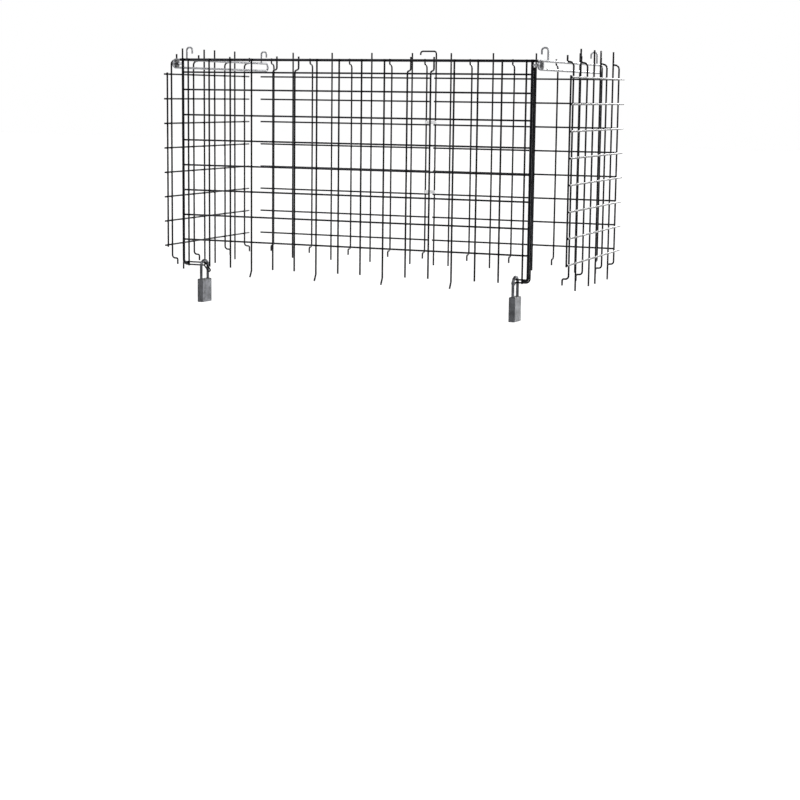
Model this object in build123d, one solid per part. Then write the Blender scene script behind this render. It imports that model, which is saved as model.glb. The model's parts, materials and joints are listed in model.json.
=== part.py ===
from build123d import *
import os
from math import cos, radians, sin, tan

# Wire security cage that hooks between two shelves of a post shelving unit.
# Sizes are in millimetres. X runs left to right along the front, Y runs from
# front to back and Z is up. The origin is the centre of the four posts, at the
# height of the shelf rim wire that the lower hooks rest on.

# The shelving that the cage has to fit
post_spacing_x = 917.6
post_spacing_y = 412.2
rim_wire = 6.4
rim_gap_z = 479.0

# Stock of wire and rod
grid_wire = 4.0
frame_rod = 6.0
track_rod = 5.0
hasp_wire = 3.6
weld_sink = 0.1
bend_radius = 6.0

# Fixed panels: in the patterns H is a hooked upright and P a plain one
panel_standoff = 25.4
side_pattern = "HPHPPHPH"
back_pattern = "PHPHPHPH"
upper_hook_bend = 9.5
lower_hook_bend = 7.0
tip_bend = 4.0
hook_flat = 0.5
hook_tip = 14.0
upper_hook_drop = 14.0
cross_count = 8
lowest_cross_z = 36.5
highest_cross_drop = 46.3
plain_top_rise = 14.4
plain_bottom_z = -25.3
cross_tail = 4.0

# Side panels, from the front upright to the rear ends of the level wires
side_first_gap = 19.0
side_last_gap = 31.0
side_rear_gap = 23.5

# Back panels, from the middle of the cage outwards
back_edge_x = 12.0
back_first_gap = 38.8
back_last_gap = 39.2
back_corner_gap = 16.2
joining_reach = 41.0
joining_rise = 4.0
joining_tip = 9.0

# Clips that tie the two back panels together
clip_height = 8.0
clip_sheet = 1.2
clip_clearance = 0.05

# Door: S is a short upright, L a long one and J one that steps back behind the top rod
door_standoff = 47.9
door_pattern = "SSSLJJLSSLJJLSSS"
door_post_gap = 43.8
door_frame_gap = 13.0
door_rod_drop = 14.0
door_rod_end_gap = 3.3
door_first_row_drop = 28.0
door_second_row_drop = 39.1
door_lower_row_count = 6
door_lowest_row_z = 57.1
door_short_z = -3.0
door_long_z = -21.0
door_top_rise = 3.0
door_kick = 8.0
door_kick_length = 14.0
joggle_depth = 19.0
joggle_length = 4.0
joggle_top_rise = 8.0
frame_curl_z = 4.0

# Tracks that the door slides back along
track_gap = 18.0
track_pitch_z = 18.0
track_rear_gap = 26.5
hanger_reach = 14.0
hanger_from_front = 60.0
hanger_from_rear = 35.0

# Glides, pivot pins and retaining rings
glide_straight = 1.6
glide_clearance = 0.3
glide_flange = 1.4
glide_lip = 3.0
pin_diameter = 5.0
pin_clearance = 0.05
ring_outer = 9.0
ring_thickness = 1.0

# Hasps that the padlocks hang on: a hairpin of wire with a cranked end
hasp_upper_z = 5.5
hasp_bend = 3.0
hasp_flat = 0.2
hasp_tail = 3.0
hasp_run_past_lock = 5.0
hasp_drop = 26.0
hasp_slope = 70.0

# Padlocks
lock_x = {"left": -364.0, "right": 386.0}
lock_turn = {"left": -7.0, "right": -4.0}
lock_width = 38.0
lock_thickness = 15.0
lock_height = 53.0
lock_corner = 3.2
lock_edge = 1.6
shackle_rod = 6.4
shackle_pitch = 25.4
shackle_rise = 45.0
shackle_hang_gap = 0.3
shackle_clearance = 0.1
heel_depth = 34.0
toe_depth = 9.5
bore_spare = 1.5
spring_height = 10.0
spring_outer = 5.8
spring_inner = 4.2
cylinder_length = 30.0
cylinder_wall = 2.15
cylinder_clearance = 0.05
plug_diameter = 8.2
plug_clearance = 0.05
keyway_width = 1.5
keyway_height = 6.2
keyway_depth = 24.0
tailpiece_height = 4.0
tailpiece_length = 9.0
tailpiece_width = 4.0
tailpiece_room = 0.5

# Blocks and cylinders are stood on their lower face
base = (Align.CENTER, Align.CENTER, Align.MIN)

# Planes of the panels and of the door, worked out from the sizes above
panel_x = post_spacing_x / 2 + panel_standoff
back_y = post_spacing_y / 2 + panel_standoff
cross_offset = grid_wire - weld_sink
door_y = -(post_spacing_y / 2 + door_standoff)
door_cross_y = door_y + cross_offset
door_rod_y = door_y + (grid_wire + frame_rod) / 2 - weld_sink
frame_y = door_cross_y - (grid_wire + frame_rod) / 2 + weld_sink
hasp_y = frame_y + (frame_rod + hasp_wire) / 2 - weld_sink

# Heights and hooks of the fixed panels
plain_top_z = rim_gap_z + plain_top_rise
upper_hook_z = rim_gap_z - upper_hook_drop
lower_hook_z = (rim_wire + grid_wire) / 2
hook_reach = upper_hook_bend + hook_flat + tip_bend
highest_cross_z = rim_gap_z - highest_cross_drop


def spread(first, last, count):
    """Evenly spaced places from first to last."""
    pitch = (last - first) / (count - 1)
    return [first + index * pitch for index in range(count)]


def picked(spots, pattern, kind):
    """The spots whose letter in the pattern is the kind asked for."""
    return [spot for spot, letter in zip(spots, pattern) if letter == kind]


# Rows of level wires and lines of uprights
cross_rows = spread(lowest_cross_z, highest_cross_z, cross_count)
side_edge_y = -post_spacing_y / 2
side_rear_y = back_y - side_rear_gap
side_spots = spread(side_edge_y + side_first_gap, side_rear_y - side_last_gap, len(side_pattern))
back_end_x = panel_x - back_corner_gap
back_spots = spread(back_edge_x + back_first_gap, back_end_x - back_last_gap, len(back_pattern))

# Door: its edge rods clear the posts, and its uprights stand between them
frame_x = post_spacing_x / 2 - door_post_gap
door_reach = frame_x - door_frame_gap
door_spots = spread(-door_reach, door_reach, len(door_pattern))
door_rod_z = rim_gap_z - door_rod_drop
door_top_z = door_rod_z + door_top_rise
door_first_row_z = door_rod_z - door_first_row_drop
door_second_row_z = door_first_row_z - door_second_row_drop
door_rows = [door_first_row_z]
door_rows += spread(door_second_row_z, door_lowest_row_z, door_lower_row_count + 1)

# Tracks and glides
track_x = frame_x + track_gap
track_upper_z = door_rod_z
track_lower_z = track_upper_z - track_pitch_z
pivot_z = (track_upper_z + track_lower_z) / 2
glide_core = track_pitch_z - track_rod - 2 * glide_clearance
glide_length = glide_core + glide_straight
glide_groove = track_rod + 2 * glide_clearance
glide_width = glide_groove + 2 * glide_flange
track_front_y = frame_y - (glide_length + track_rod) / 2 - glide_clearance
track_rear_y = back_y - track_rear_gap
ring_x = track_x + glide_width / 2 + glide_clearance
pin_tip_x = ring_x + ring_thickness + glide_clearance
door_rod_end_x = track_x - glide_width / 2 - door_rod_end_gap


def wire(points, diameter, bend=bend_radius):
    """Round wire through the points, with one inner line radius or a list of them."""
    points = [Vector(*point) for point in points]
    if len(points) == 2:
        run = points[1] - points[0]
        start = Plane(origin=points[0], z_dir=run)
        return Solid.make_cylinder(diameter / 2, run.length, start)
    path = FilletPolyline(*points, radius=bend)
    start = Plane(origin=path @ 0, z_dir=path % 0)
    return sweep(start * Circle(diameter / 2), path=path).solid()


def side_place(sign):
    """Maps along, inward and up on a side panel to the cage's own frame."""
    return lambda along, inward, up: (sign * (panel_x - inward), along, up)


def back_place(along, inward, up):
    """Maps along, inward and up on a back panel to the cage's own frame."""
    return (along, back_y - inward, up)


def cross_wires(place, start, end):
    """Level wires on the outer side of a fixed panel's uprights."""
    return [
        wire([place(start, -cross_offset, z), place(end, -cross_offset, z)], grid_wire)
        for z in cross_rows
    ]


def plain_upright(place, along):
    """Straight upright that stands in front of both shelf rims."""
    return wire([place(along, 0, plain_top_z), place(along, 0, plain_bottom_z)], grid_wire)


def hooked_upright(place, along):
    """Upright with a hook at each end, for the upper and the lower shelf rim."""
    points = [
        place(along, hook_reach, upper_hook_z + hook_tip),
        place(along, hook_reach, upper_hook_z),
        place(along, 0, upper_hook_z),
        place(along, 0, lower_hook_z),
        place(along, hook_reach, lower_hook_z),
        place(along, hook_reach, lower_hook_z - hook_tip),
    ]
    return wire(points, grid_wire, [tip_bend, upper_hook_bend, lower_hook_bend, tip_bend])


def side_panel(name, sign):
    """End panel: level wires, plain and hooked uprights, and a short one at the front edge."""
    place = side_place(sign)
    front = side_edge_y - grid_wire / 2 - cross_tail
    edge = [
        place(side_edge_y, 0, cross_rows[0] - cross_tail),
        place(side_edge_y, 0, cross_rows[-1] + cross_tail),
    ]
    plain = picked(side_spots, side_pattern, "P")
    hooked = picked(side_spots, side_pattern, "H")
    return {
        name + "_panel_cross_wires": cross_wires(place, front, side_rear_y),
        name + "_panel_plain_uprights": [plain_upright(place, y) for y in plain],
        name + "_panel_hooked_uprights": [hooked_upright(place, y) for y in hooked],
        name + "_panel_edge_rod": [wire(edge, grid_wire)],
    }


def back_panel(name, sign):
    """Half of the back, from the middle of the cage out past the rear post."""
    inner = sign * (back_edge_x - grid_wire / 2 - cross_tail)
    plain = [sign * x for x in picked(back_spots, back_pattern, "P")]
    hooked = [sign * x for x in picked(back_spots, back_pattern, "H")]
    if sign < 0:
        hooked.append(sign * back_edge_x)
    return {
        name + "_cross_wires": cross_wires(back_place, inner, sign * back_end_x),
        name + "_plain_uprights": [plain_upright(back_place, x) for x in plain],
        name + "_hooked_uprights": [hooked_upright(back_place, x) for x in hooked],
    }


def joining_hook():
    """Right half's edge upright, bent over at the top to take in the left half."""
    top = plain_top_z + joining_rise
    points = [
        back_place(back_edge_x, 0, plain_bottom_z),
        back_place(back_edge_x, 0, top),
        back_place(back_edge_x - joining_reach, 0, top),
        back_place(back_edge_x - joining_reach, 0, top - joining_tip),
    ]
    return wire(points, grid_wire)


def joining_clip(row_z):
    """Sheet strip inside the cage, folded round both edge uprights, resting on the level wires."""
    bore = grid_wire / 2 + clip_clearance
    outer = bore + clip_sheet
    profile = Pos(0, clip_sheet / 2 - outer) * Rectangle(2 * back_edge_x, clip_sheet)
    for x in (-back_edge_x, back_edge_x):
        mouth = Pos(x, outer) * Rectangle(2 * bore, 2 * outer)
        profile += Pos(x, 0) * (Circle(outer) - Circle(bore)) - mouth
    strip = extrude(profile, clip_height)
    return (Pos(0, back_y, row_z + grid_wire / 2) * strip).solid()


def short_upright(x):
    return wire([(x, door_y, door_top_z), (x, door_y, door_short_z)], grid_wire)


def long_upright(x):
    """Upright that reaches below the shelf and ends in a tip kicked forward."""
    points = [
        (x, door_y, door_top_z),
        (x, door_y, door_long_z + door_kick_length),
        (x, door_y - door_kick, door_long_z),
    ]
    return wire(points, grid_wire)


def joggled_upright(x):
    """Upright that steps back over the first level wire, clear of the top rod."""
    step_z = door_first_row_z + grid_wire
    points = [
        (x, door_y, door_short_z),
        (x, door_y, step_z),
        (x, door_y + joggle_depth, step_z + joggle_length),
        (x, door_y + joggle_depth, door_rod_z + joggle_top_rise),
    ]
    return wire(points, grid_wire)


def door_edge_rod(sign):
    """Stout edge rod, curled inwards at the foot to meet the first upright."""
    curl_end = door_reach + grid_wire / 2 - weld_sink
    points = [
        (sign * frame_x, frame_y, door_top_z),
        (sign * frame_x, frame_y, frame_curl_z),
        (sign * curl_end, frame_y, frame_curl_z),
    ]
    return wire(points, frame_rod)


def door_level_wire(z):
    end = frame_x + frame_rod / 2
    return wire([(-end, door_cross_y, z), (end, door_cross_y, z)], grid_wire)


def door_mesh():
    """All that is welded into the door, but for its pivot pins and hasps."""
    rod = [(-door_rod_end_x, door_rod_y, door_rod_z), (door_rod_end_x, door_rod_y, door_rod_z)]
    short = picked(door_spots, door_pattern, "S")
    long = picked(door_spots, door_pattern, "L")
    joggled = picked(door_spots, door_pattern, "J")
    return {
        "door_top_rod": [wire(rod, frame_rod)],
        "door_cross_wires": [door_level_wire(z) for z in door_rows],
        "door_short_uprights": [short_upright(x) for x in short],
        "door_long_uprights": [long_upright(x) for x in long],
        "door_joggled_uprights": [joggled_upright(x) for x in joggled],
        "door_left_edge_rod": [door_edge_rod(-1)],
        "door_right_edge_rod": [door_edge_rod(1)],
    }


def pivot_pin(sign):
    """Stub coped to the edge rod that it is welded to, which turns in the glide."""
    stub = wire([(sign * frame_x, frame_y, pivot_z), (sign * pin_tip_x, frame_y, pivot_z)], pin_diameter)
    rod = Pos(sign * frame_x, frame_y, pivot_z) * Cylinder(frame_rod / 2, pin_diameter * 2)
    return (stub - rod).solid()


def side_plane(sign):
    """Upright plane through a track, centred on the door's pivot pin, seen along X."""
    return Plane(origin=(sign * track_x, frame_y, pivot_z), x_dir=(0, 1, 0), z_dir=(1, 0, 0))


def track_run(sign, z):
    """Level run of a track, between the half rounds at its ends."""
    front = track_front_y + track_pitch_z / 2
    rear = track_rear_y - track_pitch_z / 2
    return wire([(sign * track_x, front, z), (sign * track_x, rear, z)], track_rod)


def track_end(sign, y, apex_y):
    """Half round that closes a track, from the end of one run to the other."""
    path = ThreePointArc(
        (sign * track_x, y, track_upper_z),
        (sign * track_x, apex_y, pivot_z),
        (sign * track_x, y, track_lower_z),
    )
    start = Plane(origin=path @ 0, z_dir=path % 0)
    return sweep(start * Circle(track_rod / 2), path=path).solid()


def track_ends(sign):
    radius = track_pitch_z / 2
    front = track_end(sign, track_front_y + radius, track_front_y)
    rear = track_end(sign, track_rear_y - radius, track_rear_y)
    return [front, rear]


def track_hanger(sign, y):
    """Hook that hangs the track from the wires of the shelf above."""
    foot = track_upper_z + track_rod / 2 - weld_sink
    inner = track_x - hanger_reach
    points = [
        (sign * track_x, y, foot),
        (sign * track_x, y, plain_top_z),
        (sign * inner, y, plain_top_z),
        (sign * inner, y, plain_top_z - hook_tip),
    ]
    return wire(points, grid_wire)


def glide(sign):
    """Plastic block with rounded ends that runs inside a track and carries a pivot pin."""
    side = side_plane(sign)
    waist = SlotOverall(glide_length, glide_core)
    rim = SlotOverall(glide_length + 2 * glide_lip, glide_core + 2 * glide_lip)
    block = extrude(side * rim, glide_width / 2, both=True)
    block -= extrude(side * (rim - waist), glide_groove / 2, both=True)
    block -= extrude(side * Circle(pin_diameter / 2 + pin_clearance), glide_width, both=True)
    return block.solid()


def retaining_ring(sign):
    """Ring pressed on the pin's end, outside the glide."""
    face = Plane(origin=(sign * ring_x, frame_y, pivot_z), z_dir=(sign, 0, 0))
    ring = Circle(ring_outer / 2) - Circle(pin_diameter / 2)
    return extrude(face * ring, ring_thickness).solid()


def hasp(side):
    """Hairpin behind the edge rod, whose closed end slopes down past the padlock."""
    sign = -1 if lock_x[side] < 0 else 1
    pitch = 2 * hasp_bend + hasp_flat
    root = frame_x + hasp_tail
    slope = radians(hasp_slope)
    lower_z = hasp_upper_z - pitch
    knee = abs(lock_x[side]) - hasp_run_past_lock
    end_x = knee - hasp_drop * cos(slope)
    end_z = lower_z - hasp_drop * sin(slope)
    points = [
        (root, lower_z),
        (knee, lower_z),
        (end_x, end_z),
        (end_x - pitch * sin(slope), end_z + pitch * cos(slope)),
        (knee - pitch * tan(slope / 2), hasp_upper_z),
        (root, hasp_upper_z),
    ]
    return wire([(sign * x, hasp_y, z) for x, z in points], hasp_wire, hasp_bend)


def padlock(side):
    """Locked padlock that hangs on the hasp: its own origin is the hasp's upper wire."""
    apex = (shackle_rod + hasp_wire) / 2 + shackle_hang_gap
    leg_y = shackle_pitch / 2
    arc_z = apex - leg_y
    top = apex + shackle_rod / 2 - shackle_rise
    bottom = top - lock_height

    heel = Line((0, leg_y, top - heel_depth), (0, leg_y, arc_z))
    bow = ThreePointArc(heel @ 1, (0, 0, apex), (0, -leg_y, arc_z))
    toe = Line(bow @ 1, (0, -leg_y, top - toe_depth))
    foot = Plane(origin=heel @ 0, z_dir=(0, 0, 1))
    shackle = sweep(foot * Circle(shackle_rod / 2), path=Wire([heel, bow, toe]))

    outline = RectangleRounded(lock_thickness, lock_width, lock_corner)
    block = Pos(0, 0, bottom) * extrude(outline, lock_height)
    block = chamfer(block.edges().group_by(Axis.Z)[-1], lock_edge)
    bore = shackle_rod / 2 + shackle_clearance
    heel_bore = heel_depth + spring_height
    toe_bore = toe_depth + bore_spare
    block -= Pos(0, leg_y, top - heel_bore) * Cylinder(bore, heel_bore, align=base)
    block -= Pos(0, -leg_y, top - toe_bore) * Cylinder(bore, toe_bore, align=base)

    plug_bore = plug_diameter / 2 + plug_clearance
    shell_radius = plug_bore + cylinder_wall
    room = cylinder_length + tailpiece_height + tailpiece_room
    block -= Pos(0, 0, bottom) * Cylinder(shell_radius + cylinder_clearance, room, align=base)
    shell = Pos(0, 0, bottom) * Cylinder(shell_radius, cylinder_length, align=base)
    shell -= Pos(0, 0, bottom) * Cylinder(plug_bore, cylinder_length, align=base)
    plug = Pos(0, 0, bottom) * Cylinder(plug_diameter / 2, cylinder_length, align=base)
    plug -= Pos(0, 0, bottom) * Box(keyway_width, keyway_height, keyway_depth, align=base)
    tail = Box(tailpiece_width, tailpiece_length, tailpiece_height, align=base)
    tailpiece = Pos(0, 0, bottom + cylinder_length) * tail

    coil = Cylinder(spring_outer / 2, spring_height, align=base)
    coil -= Cylinder(spring_inner / 2, spring_height, align=base)
    spring = Pos(0, leg_y, top - heel_bore) * coil

    place = Pos(lock_x[side], hasp_y, hasp_upper_z) * Rot(0, 0, lock_turn[side])
    return {
        side + "_lock_shackle": [(place * shackle).solid()],
        side + "_lock_body": [(place * block).solid()],
        side + "_lock_cylinder": [(place * shell).solid()],
        side + "_lock_key_plug": [(place * plug).solid()],
        side + "_lock_tailpiece": [(place * tailpiece).solid()],
        side + "_lock_spring": [(place * spring).solid()],
    }


def door_fittings(name, sign):
    """What stands at one end of the door: its track, glide, pin, ring, hasp and padlock."""
    hanger_spots = (track_front_y + hanger_from_front, track_rear_y - hanger_from_rear)
    fittings = {
        name + "_track_runs": [track_run(sign, z) for z in (track_upper_z, track_lower_z)],
        name + "_track_ends": track_ends(sign),
        name + "_track_hangers": [track_hanger(sign, y) for y in hanger_spots],
        name + "_glide": [glide(sign)],
        "door_" + name + "_pivot_pin": [pivot_pin(sign)],
        name + "_retaining_ring": [retaining_ring(sign)],
        "door_" + name + "_hasp": [hasp(name)],
    }
    fittings.update(padlock(name))
    return fittings


def build():
    """All sub-parts by name, each a list of separate solids."""
    parts = {}
    parts.update(side_panel("left", -1))
    parts.update(side_panel("right", 1))
    parts.update(back_panel("back_left", -1))
    parts.update(back_panel("back_right", 1))
    parts["back_joining_hook"] = [joining_hook()]
    parts["back_lower_clip"] = [joining_clip(cross_rows[2])]
    parts["back_upper_clip"] = [joining_clip(cross_rows[-3])]
    parts.update(door_mesh())
    parts.update(door_fittings("left", -1))
    parts.update(door_fittings("right", 1))
    return parts


os.makedirs("parts", exist_ok=True)
for node, solids in build().items():
    export_step(Compound(children=solids), f"parts/{node}.step")
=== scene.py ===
"""Looks of a wire security cage that hangs between two shelves.

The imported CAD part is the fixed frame. Its wires, rods and padlocks keep their
shapes and get the finishes below. The pieces made here are the weld beads where
the wires cross, the bent wire of the hasps, the coil springs inside the padlocks,
and the studio.
"""

from __future__ import annotations

import json
import logging
import math
from dataclasses import dataclass
from enum import Enum

import bpy
import numpy as np
from mathutils import Matrix, Vector

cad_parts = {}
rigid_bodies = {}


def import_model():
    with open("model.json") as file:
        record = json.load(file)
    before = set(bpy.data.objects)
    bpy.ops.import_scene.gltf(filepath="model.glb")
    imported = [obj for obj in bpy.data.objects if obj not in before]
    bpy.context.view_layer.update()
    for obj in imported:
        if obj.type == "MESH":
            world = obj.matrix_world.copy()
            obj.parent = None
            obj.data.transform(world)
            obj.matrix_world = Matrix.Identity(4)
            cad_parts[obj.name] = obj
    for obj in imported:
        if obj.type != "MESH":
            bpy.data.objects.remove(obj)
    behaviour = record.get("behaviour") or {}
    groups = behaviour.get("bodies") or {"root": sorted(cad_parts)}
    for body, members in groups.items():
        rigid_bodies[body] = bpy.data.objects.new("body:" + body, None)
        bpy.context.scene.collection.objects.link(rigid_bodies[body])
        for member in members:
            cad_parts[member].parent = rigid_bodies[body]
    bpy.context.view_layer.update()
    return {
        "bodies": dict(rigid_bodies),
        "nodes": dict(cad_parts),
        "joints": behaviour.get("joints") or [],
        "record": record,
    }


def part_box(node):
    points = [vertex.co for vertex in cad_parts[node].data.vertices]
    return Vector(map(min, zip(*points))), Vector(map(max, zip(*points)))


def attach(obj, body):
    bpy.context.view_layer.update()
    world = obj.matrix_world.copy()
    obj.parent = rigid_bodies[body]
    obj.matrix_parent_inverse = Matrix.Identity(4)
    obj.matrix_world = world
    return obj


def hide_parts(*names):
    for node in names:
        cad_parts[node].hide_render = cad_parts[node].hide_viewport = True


LOG = logging.getLogger("security_cage")
MM = 0.001
FRAME_PIXELS = 800.0
SENSOR_MM = 36.0
# Ranges of a noise value that the patches and the polish of a metal stretch over
PATCH_RANGE = (0.35, 0.65)
POLISH_RANGE = (0.3, 0.7)
# Points round a wire or a bead, and the three faces that close a ring of them
RING_POINTS = 8
END_CAP = np.array([(0, 1, 2, 3), (0, 3, 4, 7), (4, 5, 6, 7)])
ARC_POINTS = 9
SPRING_STEPS_PER_TURN = 24
BEAD_RINGS = 6
# Angle that a bead's first and last ring stay off its poles, in radians
POLE_GAP = 0.02


def linear(hex_colour: str) -> tuple[float, float, float, float]:
    """Turn an sRGB hex colour into the linear values that a shader takes.

    Each channel c becomes c / 12.92 below 0.04045, else ((c + 0.055) / 1.055) ** 2.4.

    Args:
        hex_colour: colour as "#RRGGBB".

    Returns:
        Red, green, blue and an alpha of 1.
    """
    channels = [int(hex_colour[i : i + 2], 16) / 255 for i in (1, 3, 5)]
    red, green, blue = (
        c / 12.92 if c <= 0.04045 else ((c + 0.055) / 1.055) ** 2.4 for c in channels
    )
    return red, green, blue, 1.0


def add_node(
    tree: bpy.types.NodeTree,
    kind: str,
    settings: dict[str, object] | None = None,
    inputs: dict[str | int, object] | None = None,
) -> bpy.types.Node:
    """Add one shader node with its settings, socket values and incoming links.

    Args:
        tree: node tree that the node goes into.
        kind: Blender's name for the node type.
        settings: attributes set on the node itself.
        inputs: a value, or an output socket to link from, for each named input.

    Returns:
        The new node.
    """
    node = tree.nodes.new(kind)
    for name, value in (settings or {}).items():
        setattr(node, name, value)
    for name, value in (inputs or {}).items():
        if isinstance(value, bpy.types.NodeSocket):
            tree.links.new(value, node.inputs[name])
        else:
            node.inputs[name].default_value = value
    return node


def empty_material(name: str) -> bpy.types.Material:
    """Make a material whose node tree is empty.

    Args:
        name: real material and how its surface was made.

    Returns:
        The new material.
    """
    material = bpy.data.materials.new(name)
    material.use_nodes = True
    material.node_tree.nodes.clear()
    return material


class Grain(Enum):
    """Direction that the making of a surface left its fine marks in."""

    NONE = (1.0, 1.0, 1.0)
    UPRIGHT = (1.0, 1.0, 0.04)
    LEVEL = (0.04, 1.0, 1.0)


@dataclass(frozen=True)
class MetalFinish:
    """Metal surface with cloudy colour, uneven polish and fine tool marks.

    Attributes:
        name: real material and how its surface was made.
        dark: colour of the duller patches.
        light: colour of the cleaner patches.
        smooth: lowest roughness.
        rough: highest roughness.
        cloud_mm: size of the patches.
        mark_mm: spacing of the fine marks.
        mark_depth: strength of the marks in the bump.
        grain: direction of the marks.
    """

    name: str
    dark: str
    light: str
    smooth: float
    rough: float
    cloud_mm: float = 30.0
    mark_mm: float = 0.8
    mark_depth: float = 0.05
    grain: Grain = Grain.NONE

    def build(self) -> bpy.types.Material:
        """Make the material: clouds drive colour and roughness, marks drive the bump."""
        material = empty_material(self.name)
        tree = material.node_tree
        place = add_node(tree, "ShaderNodeTexCoord")
        clouds = add_node(
            tree,
            "ShaderNodeTexNoise",
            inputs={
                "Vector": place.outputs["Object"],
                "Scale": 1 / (self.cloud_mm * MM),
                "Detail": 5.0,
                "Roughness": 0.6,
            },
        )
        along = add_node(
            tree,
            "ShaderNodeMapping",
            inputs={"Vector": place.outputs["Object"], "Scale": self.grain.value},
        )
        marks = add_node(
            tree,
            "ShaderNodeTexNoise",
            inputs={
                "Vector": along.outputs["Vector"],
                "Scale": 1 / (self.mark_mm * MM),
                "Detail": 3.0,
                "Roughness": 0.55,
            },
        )
        patches = add_node(
            tree,
            "ShaderNodeMapRange",
            inputs={
                "Value": clouds.outputs["Fac"],
                "From Min": PATCH_RANGE[0],
                "From Max": PATCH_RANGE[1],
            },
        )
        colour = add_node(
            tree,
            "ShaderNodeMix",
            {"data_type": "RGBA"},
            {0: patches.outputs["Result"], 6: linear(self.dark), 7: linear(self.light)},
        )
        polish = add_node(
            tree,
            "ShaderNodeMapRange",
            inputs={
                "Value": clouds.outputs["Fac"],
                "From Min": POLISH_RANGE[0],
                "From Max": POLISH_RANGE[1],
                "To Min": self.rough,
                "To Max": self.smooth,
            },
        )
        bump = add_node(
            tree,
            "ShaderNodeBump",
            inputs={
                "Height": marks.outputs["Fac"],
                "Strength": self.mark_depth,
                "Distance": 0.1 * MM,
            },
        )
        shader = add_node(
            tree,
            "ShaderNodeBsdfPrincipled",
            inputs={
                "Base Color": colour.outputs[2],
                "Metallic": 1.0,
                "Roughness": polish.outputs["Result"],
                "Normal": bump.outputs["Normal"],
            },
        )
        add_node(
            tree,
            "ShaderNodeOutputMaterial",
            inputs={"Surface": shader.outputs["BSDF"]},
        )
        return material


@dataclass(frozen=True)
class MouldedPlastic:
    """Moulded plastic with a fine spark-eroded texture.

    Attributes:
        name: real material and how its surface was made.
        dark: colour in the hollows of the texture.
        light: colour on its tops.
        grit_mm: size of the texture's grains.
    """

    name: str
    dark: str
    light: str
    grit_mm: float = 0.6

    def build(self) -> bpy.types.Material:
        """Make the material: one fine noise drives colour, roughness and bump."""
        material = empty_material(self.name)
        tree = material.node_tree
        place = add_node(tree, "ShaderNodeTexCoord")
        grit = add_node(
            tree,
            "ShaderNodeTexNoise",
            inputs={
                "Vector": place.outputs["Object"],
                "Scale": 1 / (self.grit_mm * MM),
                "Detail": 4.0,
            },
        )
        colour = add_node(
            tree,
            "ShaderNodeMix",
            {"data_type": "RGBA"},
            {0: grit.outputs["Fac"], 6: linear(self.dark), 7: linear(self.light)},
        )
        sheen = add_node(
            tree,
            "ShaderNodeMapRange",
            inputs={"Value": grit.outputs["Fac"], "To Min": 0.55, "To Max": 0.38},
        )
        bump = add_node(
            tree,
            "ShaderNodeBump",
            inputs={"Height": grit.outputs["Fac"], "Strength": 0.25, "Distance": 0.05 * MM},
        )
        shader = add_node(
            tree,
            "ShaderNodeBsdfPrincipled",
            inputs={
                "Base Color": colour.outputs[2],
                "Roughness": sheen.outputs["Result"],
                "IOR": 1.48,
                "Normal": bump.outputs["Normal"],
            },
        )
        add_node(
            tree,
            "ShaderNodeOutputMaterial",
            inputs={"Surface": shader.outputs["BSDF"]},
        )
        return material


class Finish(Enum):
    """Every finish on the cage."""

    # Drawn steel wire, welded and chrome plated: painted near-black as a painted reflection of
    # dark surroundings, with thin bright streaks
    MESH_WIRE = MetalFinish(
        "chrome_wire_painted_dark_reflection", "#0E0E10", "#1B1B1E", 0.12, 0.22, cloud_mm=40.0
    )
    # Bright zinc on drawn rod: grey with soft reflections, its grey partly its own and partly
    # darkened as a painted dark reflection
    BRIGHT_ROD = MetalFinish(
        "zinc_rod_grey_and_painted_dark_reflection", "#5F6063", "#8E8F92", 0.14, 0.28, cloud_mm=25.0
    )
    # Rolled aluminium sheet, folded and left bare: dull pale grey
    CLIP_SHEET = MetalFinish(
        "folded_mill_aluminium", "#B4B4B5", "#D8D8D9", 0.32, 0.48, cloud_mm=8.0
    )
    # Case ground lengthwise and satin plated: mid grey with upright grain
    LOCK_CASE = MetalFinish(
        "satin_plated_ground_steel",
        "#3E3F41",
        "#545558",
        0.30,
        0.42,
        cloud_mm=12.0,
        mark_mm=0.5,
        mark_depth=0.25,
        grain=Grain.UPRIGHT,
    )
    # Hardened bar, bent, tumbled and plated: darker and glossier than the case
    LOCK_BOW = MetalFinish(
        "tumbled_plated_hardened_steel", "#3A3B3D", "#55565A", 0.18, 0.30, cloud_mm=10.0
    )
    # Turned brass bar: warm yellow with rings too fine to show
    LOCK_CORE = MetalFinish(
        "turned_brass", "#B0904E", "#D0B26C", 0.22, 0.36, cloud_mm=6.0, mark_mm=0.4
    )
    # Nylon glide: soft black with a fine moulded grain
    GLIDE = MouldedPlastic("moulded_black_nylon", "#141415", "#232325")


@dataclass(frozen=True)
class Palette:
    """The built materials, by finish."""

    materials: dict[Finish, bpy.types.Material]

    @classmethod
    def mix(cls) -> "Palette":
        """Build every finish once."""
        return cls({finish: finish.value.build() for finish in Finish})

    def dress(self, node: bpy.types.Object, finish: Finish) -> None:
        """Give one piece its finish.

        Args:
            node: CAD node or new piece.
            finish: finish to put on it.
        """
        material = self.materials[finish]
        if not node.material_slots:
            node.data.materials.append(material)
        for slot in node.material_slots:
            slot.material = material


def put_mesh(name: str, points: np.ndarray, faces: np.ndarray) -> bpy.types.Object:
    """Make a smooth-shaded mesh object at the origin.

    Args:
        name: name of the piece.
        points: n by 3 array of places in metres.
        faces: m by 4 array of point numbers, facing outwards.

    Returns:
        The new object, linked into the scene.
    """
    mesh = bpy.data.meshes.new(name)
    mesh.from_pydata(points.tolist(), [], faces.tolist())
    mesh.polygons.foreach_set("use_smooth", np.ones(len(faces), dtype=bool))
    mesh.update()
    piece = bpy.data.objects.new(name, mesh)
    bpy.context.scene.collection.objects.link(piece)
    return piece


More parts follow.
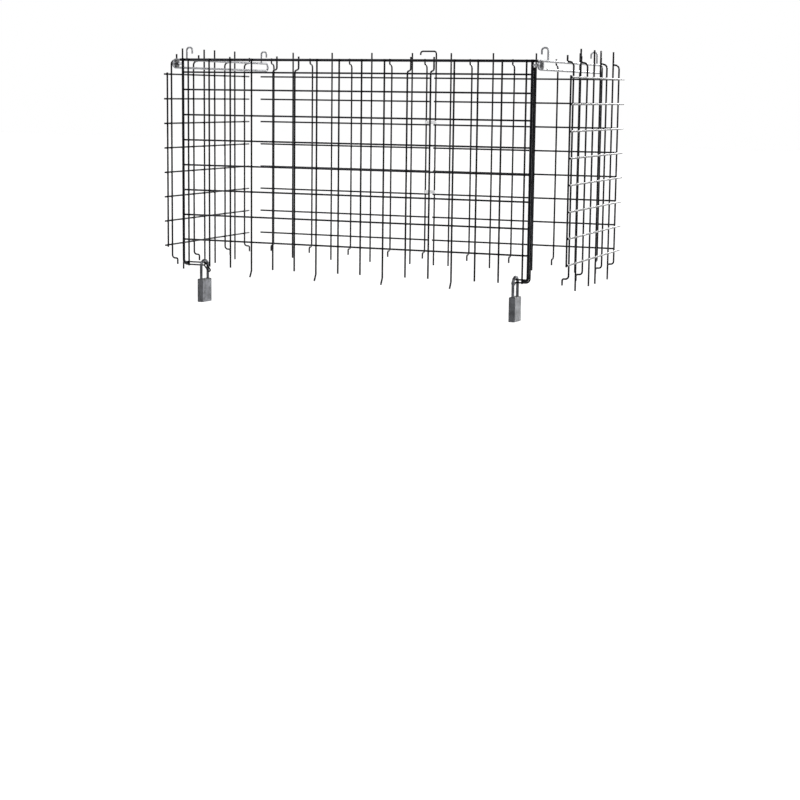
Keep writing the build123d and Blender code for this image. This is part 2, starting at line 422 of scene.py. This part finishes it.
def closed_faces(rows: int) -> np.ndarray:
    """Faces of a stack of rings of points, closed at both ends.

    Point j of ring i has number i * RING_POINTS + j. Each side face takes the four
    points round one cell, and END_CAP closes the first and the last ring.

    Args:
        rows: number of rings.

    Returns:
        Array of four point numbers to a face.
    """
    i, j = np.meshgrid(np.arange(rows - 1), np.arange(RING_POINTS), indexing="ij")
    ring, above = i * RING_POINTS, (i + 1) * RING_POINTS
    right = (j + 1) % RING_POINTS
    sides = np.stack([ring + j, ring + right, above + right, above + j], axis=-1)
    last = (rows - 1) * RING_POINTS
    return np.concatenate([sides.reshape(-1, 4), END_CAP[:, ::-1], END_CAP + last])


def put_tube(
    name: str, line: np.ndarray, across: np.ndarray, beside: np.ndarray, radius: float
) -> bpy.types.Object:
    """Carry a circle along a path and close both ends.

    Point (i, j) is at line[i] + radius (cos v across[i] + sin v beside), where v runs
    once round the circle with j.

    Args:
        name: name of the piece.
        line: n by 3 array of the path's points, in metres.
        across: n by 3 array of unit vectors square to the path.
        beside: unit vector square to those, the same all along.
        radius: radius of the circle, in metres.

    Returns:
        The piece.
    """
    v = np.linspace(0, 2 * math.pi, RING_POINTS, endpoint=False)[None, :, None]
    ring = np.cos(v) * across[:, None, :] + np.sin(v) * beside
    points = (line[:, None, :] + radius * ring).reshape(-1, 3)
    faces = closed_faces(len(line))
    along = line[1] - line[0]
    if np.dot(np.cross(across[0], beside), along) > 0:
        faces = faces[:, ::-1]
    return put_mesh(name, points, faces)


def rounded(corners: np.ndarray, radii: tuple[float, ...]) -> np.ndarray:
    """Round the inner corners of a flat path with arcs.

    At a corner P with unit vectors a and b back and on along the path, and h half the
    angle between them, the arc's centre is P + (a + b) / |a + b| radius / sin h. Its
    points are turned from one tangent point to the other, with sine weights.

    Args:
        corners: n by 2 array of the path's ends and corners.
        radii: radius of the arc at each inner corner.

    Returns:
        Array of points from end to end.
    """
    radius = np.array(radii)[:, None]
    turn = corners[1:-1]
    back, on = corners[:-2] - turn, corners[2:] - turn
    back /= np.linalg.norm(back, axis=1, keepdims=True)
    on /= np.linalg.norm(on, axis=1, keepdims=True)
    half = np.arccos((back * on).sum(axis=1, keepdims=True)) / 2
    middle = back + on
    middle /= np.linalg.norm(middle, axis=1, keepdims=True)
    centre = turn + middle * radius / np.sin(half)
    first = turn + back * radius / np.tan(half) - centre
    second = turn + on * radius / np.tan(half) - centre
    swept = (math.pi - 2 * half)[:, None, :]
    k = np.linspace(0, 1, ARC_POINTS)[None, :, None]
    arc = np.sin((1 - k) * swept) * first[:, None, :] + np.sin(k * swept) * second[:, None, :]
    arcs = (centre[:, None, :] + arc / np.sin(swept)).reshape(-1, 2)
    return np.concatenate([corners[:1], arcs, corners[-1:]])


@dataclass(frozen=True)
class Crossings:
    """Places where two rows of wires in one panel cross.

    Attributes:
        spots: places along the panel of its uprights, in mm.
        levels: heights of its level wires, in mm.
        contact: distance of the touching plane from the cage's middle, in mm.
        across: axis number that the contact distance is measured on, 0 or 1.
    """

    spots: tuple[float, ...]
    levels: tuple[float, ...]
    contact: float
    across: int

    def centres(self) -> np.ndarray:
        """Every crossing's centre in mm, as an n by 3 array."""
        along, height = np.meshgrid(self.spots, self.levels, indexing="ij")
        points = np.empty((along.size, 3))
        points[:, self.across] = self.contact
        points[:, 1 - self.across] = along.ravel()
        points[:, 2] = height.ravel()
        return points


@dataclass
class WeldBeads:
    """Squashed metal at each spot weld, as one piece for a panel.

    Attributes:
        name: name of the piece.
        body: CAD body that carries it.
        crossings: where the welds are.
        radius: reach of a bead in the panel's plane, in mm.
        half_height: reach of a bead across the panel, in mm.
    """

    name: str
    body: str
    crossings: Crossings
    radius: float = 2.75
    half_height: float = 1.15

    def build(self, palette: Palette) -> bpy.types.Object:
        """Put one flattened ball at each crossing.

        With t from 0 to pi and s from 0 to 2 pi, a point is at
        (radius sin t cos s, radius sin t sin s, half_height cos t) from the
        crossing, in the two directions of the panel and the one across it.

        Args:
            palette: materials to dress the beads with.

        Returns:
            The piece.
        """
        t = np.linspace(POLE_GAP, math.pi - POLE_GAP, BEAD_RINGS)
        s = np.linspace(0, 2 * math.pi, RING_POINTS, endpoint=False)
        t, s = (a.ravel() for a in np.meshgrid(t, s, indexing="ij"))
        ball = np.empty((len(t), 3))
        ball[:, self.crossings.across] = self.half_height * np.cos(t)
        ball[:, 1 - self.crossings.across] = self.radius * np.sin(t) * np.cos(s)
        ball[:, 2] = self.radius * np.sin(t) * np.sin(s)
        centres = self.crossings.centres()
        points = (centres[:, None, :] + ball[None, :, :]).reshape(-1, 3) * MM
        one = closed_faces(BEAD_RINGS)
        if self.crossings.across == 0:
            one = one[:, ::-1]
        steps = np.arange(len(centres))[:, None, None] * len(ball)
        piece = put_mesh(self.name, points, (one[None] + steps).reshape(-1, 4))
        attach(piece, self.body)
        palette.dress(piece, Finish.MESH_WIRE)
        LOG.info("%s: %d beads", self.name, len(centres))
        return piece


@dataclass(frozen=True)
class PanelGrid:
    """Sizes that the cage's four faces share, in mm."""

    wire: float = 4.0
    sink: float = 0.1
    level_count: int = 8
    lowest_level: float = 36.5
    highest_level: float = 432.7

    def levels(self) -> tuple[float, ...]:
        """Heights of the fixed panels' level wires."""
        return tuple(np.linspace(self.lowest_level, self.highest_level, self.level_count))


@dataclass
class EndPanel:
    """One end of the cage.

    Attributes:
        side: left or right.
        grid: shared sizes.
        plane: distance of the uprights from the middle, in mm.
        edge: place of the front edge upright along Y, in mm.
        first: place of the first full upright along Y, in mm.
        last: place of the rearmost upright along Y, in mm.
        count: number of full uprights.
    """

    side: str
    grid: PanelGrid
    plane: float = 484.2
    edge: float = -206.1
    first: float = -187.1
    last: float = 177.0
    count: int = 8

    def build(self, palette: Palette) -> None:
        """Weld the panel's crossings."""
        spots = (self.edge, *np.linspace(self.first, self.last, self.count))
        sign = -1 if self.side == "left" else 1
        contact = sign * (self.plane + (self.grid.wire - self.grid.sink) / 2)
        crossings = Crossings(spots, self.grid.levels(), contact, across=0)
        WeldBeads(self.side + "_panel_weld_beads", "cage", crossings).build(palette)


@dataclass
class BackPanel:
    """One half of the back.

    Attributes:
        side: left or right.
        grid: shared sizes.
        plane: distance of the uprights behind the middle, in mm.
        edge: distance of the inner upright from the middle, in mm.
        first: distance of the next upright from the middle, in mm.
        pitch: spacing of the uprights, in mm.
        count: number of uprights after the inner one.
    """

    side: str
    grid: PanelGrid
    plane: float = 231.5
    edge: float = 12.0
    first: float = 50.8
    pitch: float = 54.0
    count: int = 8

    def build(self, palette: Palette) -> None:
        """Weld the half panel's crossings."""
        sign = -1 if self.side == "left" else 1
        outer = [self.first + i * self.pitch for i in range(self.count)]
        spots = tuple(sign * x for x in [self.edge] + outer)
        contact = self.plane + (self.grid.wire - self.grid.sink) / 2
        crossings = Crossings(spots, self.grid.levels(), contact, across=1)
        WeldBeads("back_" + self.side + "_weld_beads", "cage", crossings).build(palette)


@dataclass
class Door:
    """The front door.

    Attributes:
        grid: shared sizes.
        plane: distance of the uprights in front of the middle, as a Y in mm.
        pitch: spacing of the uprights, in mm.
        count: number of uprights.
        levels: heights of the level wires, in mm.
    """

    grid: PanelGrid
    plane: float = -254.0
    pitch: float = 53.6
    count: int = 16
    levels: tuple[float, ...] = (437.0, 397.9, 341.1, 284.3, 227.5, 170.7, 113.9, 57.1)

    def build(self, palette: Palette) -> None:
        """Weld the door's crossings."""
        middle = (self.count - 1) / 2
        spots = tuple((i - middle) * self.pitch for i in range(self.count))
        contact = self.plane + (self.grid.wire - self.grid.sink) / 2
        crossings = Crossings(spots, self.levels, contact, across=1)
        WeldBeads("door_weld_beads", "door", crossings).build(palette)


@dataclass
class Hasp:
    """Hairpin of wire that the padlock goes round, with one leg up the door's edge.

    Attributes:
        side: left or right.
        knee: distance of its bend from the cage's middle, in mm.
        slope: angle of the closed end below level, in degrees.
        drop: length of the closed end, in mm.
        root: distance of its upper wire's end from the cage's middle, in mm.
        edge: distance of its upright leg from the cage's middle, in mm.
        top: height of that leg's end, in mm.
        plane: distance of the wire in front of the middle, as a Y in mm.
        upper: height of its upper wire, in mm.
        pitch: distance between its two wires, in mm.
        wire: thickness of the wire, in mm.
        bend: radius of its bends to the middle of the wire, in mm.
        sweep: radius of the bend at the foot of the upright leg, in mm.
    """

    side: str
    knee: float
    slope: float
    drop: float
    root: float = 411.0
    edge: float = 418.4
    top: float = 452.0
    plane: float = -250.3
    upper: float = 5.5
    pitch: float = 6.2
    wire: float = 3.6
    bend: float = 3.0
    sweep: float = 9.5

    def build(self, palette: Palette) -> bpy.types.Object:
        """Bend the wire: down the edge, level to the knee, round the closed end and back.

        The closed end runs from the lower knee along (-cos a, -sin a) for the length of
        the drop, where a is the slope. Its upper wire lies the pitch away from that,
        along (-sin a, cos a), and its knee is pitch tan(a / 2) nearer the middle.

        Args:
            palette: materials to dress the hasp with.

        Returns:
            The piece.
        """
        slope = math.radians(self.slope)
        down = np.array([-math.cos(slope), -math.sin(slope)])
        over = np.array([-math.sin(slope), math.cos(slope)])
        lower_knee = np.array([self.knee, self.upper - self.pitch])
        upper_knee = np.array([self.knee - self.pitch * math.tan(slope / 2), self.upper])
        end = lower_knee + down * self.drop
        path = np.array(
            [
                (self.edge, self.top),
                (self.edge, lower_knee[1]),
                lower_knee,
                end,
                end + over * self.pitch,
                upper_knee,
                (self.root, self.upper),
            ]
        )
        flat = rounded(path, (self.sweep,) + (self.bend,) * (len(path) - 3))
        sign = -1 if self.side == "left" else 1
        line = np.insert(flat * (sign, 1), 1, self.plane, axis=1) * MM
        along = np.gradient(line, axis=0)
        along /= np.linalg.norm(along, axis=1, keepdims=True)
        beside = np.array([0, 1.0, 0])
        piece = put_tube(
            self.side + "_hasp_wire", line, np.cross(along, beside), beside, self.wire * MM / 2
        )
        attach(piece, "door")
        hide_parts("door_" + self.side + "_hasp")
        palette.dress(piece, Finish.MESH_WIRE)
        return piece


@dataclass
class HeelSpring:
    """Coil spring under a padlock's long leg.

    Attributes:
        side: left or right.
        wire: thickness of the spring's wire, in mm.
        turns: number of turns.
    """

    side: str
    wire: float = 0.7
    turns: float = 5.5

    def build(self, palette: Palette) -> bpy.types.Object:
        """Wind the spring in the space of its plain solid.

        With u from 0 to 1 the wire's centre is at (R cos a, R sin a, rise u), where
        a is 2 pi turns u, and a circle of the wire's radius is carried along it.

        Args:
            palette: materials to dress the spring with.

        Returns:
            The piece.
        """
        node = self.side + "_lock_spring"
        low, high = (np.array(corner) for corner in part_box(node))
        middle = (low + high) / 2
        thin = self.wire * MM / 2
        reach = (high[0] - low[0]) / 2 - thin
        steps = SPRING_STEPS_PER_TURN * int(self.turns + 0.5)
        u = np.linspace(0, 1, steps)
        angle = 2 * math.pi * self.turns * u
        out = np.stack([np.cos(angle), np.sin(angle), np.zeros(steps)], axis=1)
        up = np.array([0, 0, 1.0])
        rise = high[2] - low[2] - 2 * thin
        line = out * reach + up * (rise * u)[:, None]
        line += np.array([middle[0], middle[1], low[2] + thin])
        piece = put_tube(self.side + "_lock_coil", line, out, up, thin)
        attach(piece, self.side + "_lock_case")
        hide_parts(node)
        palette.dress(piece, Finish.LOCK_BOW)
        return piece


@dataclass(frozen=True)
class Camera:
    """Camera at the photograph's viewing angle.

    Attributes:
        place: where it stands, in metres.
        turn: turn to the left from looking straight back, in degrees.
        dip: tilt downwards, in degrees.
        roll: turn about the line of sight, in degrees.
        focal_pixels: focal length in pixels of the photograph.
        shift_y: shift of the frame, as a share of its width.
    """

    place: tuple[float, float, float] = (1.5094, -3.6354, 0.3929)
    turn: float = 22.285
    dip: float = 7.636
    roll: float = 0.687
    focal_pixels: float = 1683.7
    shift_y: float = -0.10

    def build(self) -> bpy.types.Object:
        """Make the camera and set it as the scene's own."""
        yaw, dip, roll = (math.radians(a) for a in (self.turn, self.dip, self.roll))
        level = Vector((-math.sin(yaw), math.cos(yaw), 0))
        right = Vector((math.cos(yaw), math.sin(yaw), 0))
        up = Vector((0, 0, 1))
        ahead = level * math.cos(dip) - up * math.sin(dip)
        above = up * math.cos(dip) + level * math.sin(dip)
        rolled_right = right * math.cos(roll) + above * math.sin(roll)
        rolled_up = above * math.cos(roll) - right * math.sin(roll)
        data = bpy.data.cameras.new("camera")
        data.sensor_width = SENSOR_MM
        data.lens = data.sensor_width * self.focal_pixels / FRAME_PIXELS
        data.shift_y = self.shift_y
        camera = bpy.data.objects.new("camera", data)
        columns = Matrix((rolled_right, rolled_up, -ahead)).transposed()
        camera.matrix_world = Matrix.Translation(self.place) @ columns.to_4x4()
        bpy.context.scene.collection.objects.link(camera)
        bpy.context.scene.camera = camera
        return camera


@dataclass(frozen=True)
class SoftBox:
    """Square studio lamp aimed at the cage.

    Attributes:
        name: name of the lamp.
        place: where it hangs, in metres.
        side: length of its side, in metres.
        power: its power, in watts.
    """

    name: str
    place: tuple[float, float, float]
    side: float
    power: float

    def build(self, target: Vector) -> None:
        """Hang the lamp and aim it.

        Args:
            target: point it faces, in metres.
        """
        data = bpy.data.lights.new(self.name, "AREA")
        data.shape = "SQUARE"
        data.size = self.side
        data.energy = self.power
        lamp = bpy.data.objects.new(self.name, data)
        lamp.location = self.place
        lamp.rotation_euler = (target - lamp.location).to_track_quat("-Z", "Y").to_euler()
        bpy.context.scene.collection.objects.link(lamp)


@dataclass(frozen=True)
class Studio:
    """Pale floor, white surroundings and soft lamps.

    Attributes:
        floor_z: height of the floor, in metres.
        floor_reach: half the side of the floor, in metres.
        sky: strength of the surroundings' light on the object.
        lift: light that the floor adds to itself, so that its lit part reads as white.
        boxes: the lamps.
    """

    floor_z: float = -0.95
    floor_reach: float = 40.0
    sky: float = 0.75
    lift: float = 0.4
    boxes: tuple[SoftBox, ...] = (
        SoftBox("key_box", (-2.2, -3.0, 2.6), 1.6, 90.0),
        SoftBox("fill_box", (3.2, -1.6, 1.6), 1.8, 55.0),
        SoftBox("rim_box", (0.3, 3.1, 1.0), 0.9, 26.0),
        SoftBox("low_box", (2.6, 2.5, -0.2), 1.3, 24.0),
    )

    def build(self) -> None:
        """Lay the floor, light the world and hang the lamps."""
        self._floor()
        self._world()
        target = Vector((0, 0, 0.2))
        for box in self.boxes:
            box.build(target)
        bpy.context.scene.view_settings.view_transform = "Standard"

    def _floor(self) -> None:
        """Pale floor that shows white to the camera and keeps the cage's shadow."""
        r, z = self.floor_reach, self.floor_z
        corners = np.array([(-r, -r, z), (r, -r, z), (r, r, z), (-r, r, z)])
        floor = put_mesh("studio_floor", corners, np.array([[0, 1, 2, 3]]))
        material = empty_material("matt_white_studio_board")
        tree = material.node_tree
        path = add_node(tree, "ShaderNodeLightPath")
        seen = add_node(
            tree,
            "ShaderNodeMath",
            {"operation": "MAXIMUM"},
            {0: path.outputs["Is Camera Ray"], 1: path.outputs["Is Glossy Ray"]},
        )
        board = add_node(
            tree, "ShaderNodeBsdfDiffuse", inputs={"Color": linear("#F2F2F2"), "Roughness": 0.5}
        )
        lift = add_node(
            tree, "ShaderNodeMath", {"operation": "MULTIPLY"}, {0: seen.outputs[0], 1: self.lift}
        )
        glow = add_node(
            tree,
            "ShaderNodeEmission",
            inputs={"Color": (1, 1, 1, 1), "Strength": lift.outputs[0]},
        )
        both = add_node(
            tree, "ShaderNodeAddShader", inputs={0: board.outputs[0], 1: glow.outputs[0]}
        )
        add_node(tree, "ShaderNodeOutputMaterial", inputs={"Surface": both.outputs[0]})
        floor.data.materials.append(material)

    def _world(self) -> None:
        """White surroundings for the eye and for reflections, softer light on the object."""
        world = bpy.data.worlds.new("studio_surroundings")
        bpy.context.scene.world = world
        world.use_nodes = True
        tree = world.node_tree
        tree.nodes.clear()
        path = add_node(tree, "ShaderNodeLightPath")
        mirrored = add_node(
            tree,
            "ShaderNodeMath",
            {"operation": "MAXIMUM"},
            {0: path.outputs["Is Glossy Ray"], 1: path.outputs["Is Transmission Ray"]},
        )
        seen = add_node(
            tree,
            "ShaderNodeMath",
            {"operation": "MAXIMUM"},
            {0: path.outputs["Is Camera Ray"], 1: mirrored.outputs[0]},
        )
        strength = add_node(
            tree,
            "ShaderNodeMapRange",
            inputs={"Value": seen.outputs[0], "To Min": self.sky, "To Max": 1.0},
        )
        light = add_node(
            tree,
            "ShaderNodeBackground",
            inputs={"Color": (1, 1, 1, 1), "Strength": strength.outputs["Result"]},
        )
        add_node(tree, "ShaderNodeOutputWorld", inputs={"Surface": light.outputs[0]})


@dataclass(frozen=True)
class CadFinishes:
    """Finish of each kind of CAD node, told by the record's material slots."""

    by_slot: tuple[tuple[str, Finish], ...] = (
        ("cage_wire", Finish.MESH_WIRE),
        ("bright_rod", Finish.BRIGHT_ROD),
        ("clip_sheet", Finish.CLIP_SHEET),
        ("glide_plastic", Finish.GLIDE),
        ("lock_case", Finish.LOCK_CASE),
        ("lock_steel", Finish.LOCK_BOW),
        ("lock_brass", Finish.LOCK_CORE),
    )

    def dress(self, frame: dict, palette: Palette) -> None:
        """Dress every CAD node.

        Args:
            frame: the loaded frame.
            palette: built materials.
        """
        finishes = dict(self.by_slot)
        for part in frame["record"]["subparts"]:
            palette.dress(frame["nodes"][part["node"]], finishes[part["material_slot"]])


def main() -> None:
    """Load the frame, dress it, add the pieces made here and set up the studio."""
    logging.basicConfig(level=logging.INFO, format="%(message)s")
    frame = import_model()
    Camera().build()
    palette = Palette.mix()
    CadFinishes().dress(frame, palette)
    grid = PanelGrid()
    # The photo shows a long sloping end at the left and a short one at the right
    Hasp("left", knee=364.5, slope=52.0, drop=19.0).build(palette)
    Hasp("right", knee=386.5, slope=62.0, drop=8.0).build(palette)
    for side in ("left", "right"):
        EndPanel(side, grid).build(palette)
        BackPanel(side, grid).build(palette)
        HeelSpring(side).build(palette)
        LOG.info("%s side dressed", side)
    Door(grid).build(palette)
    Studio().build()


if __name__ == "__main__":
    main()
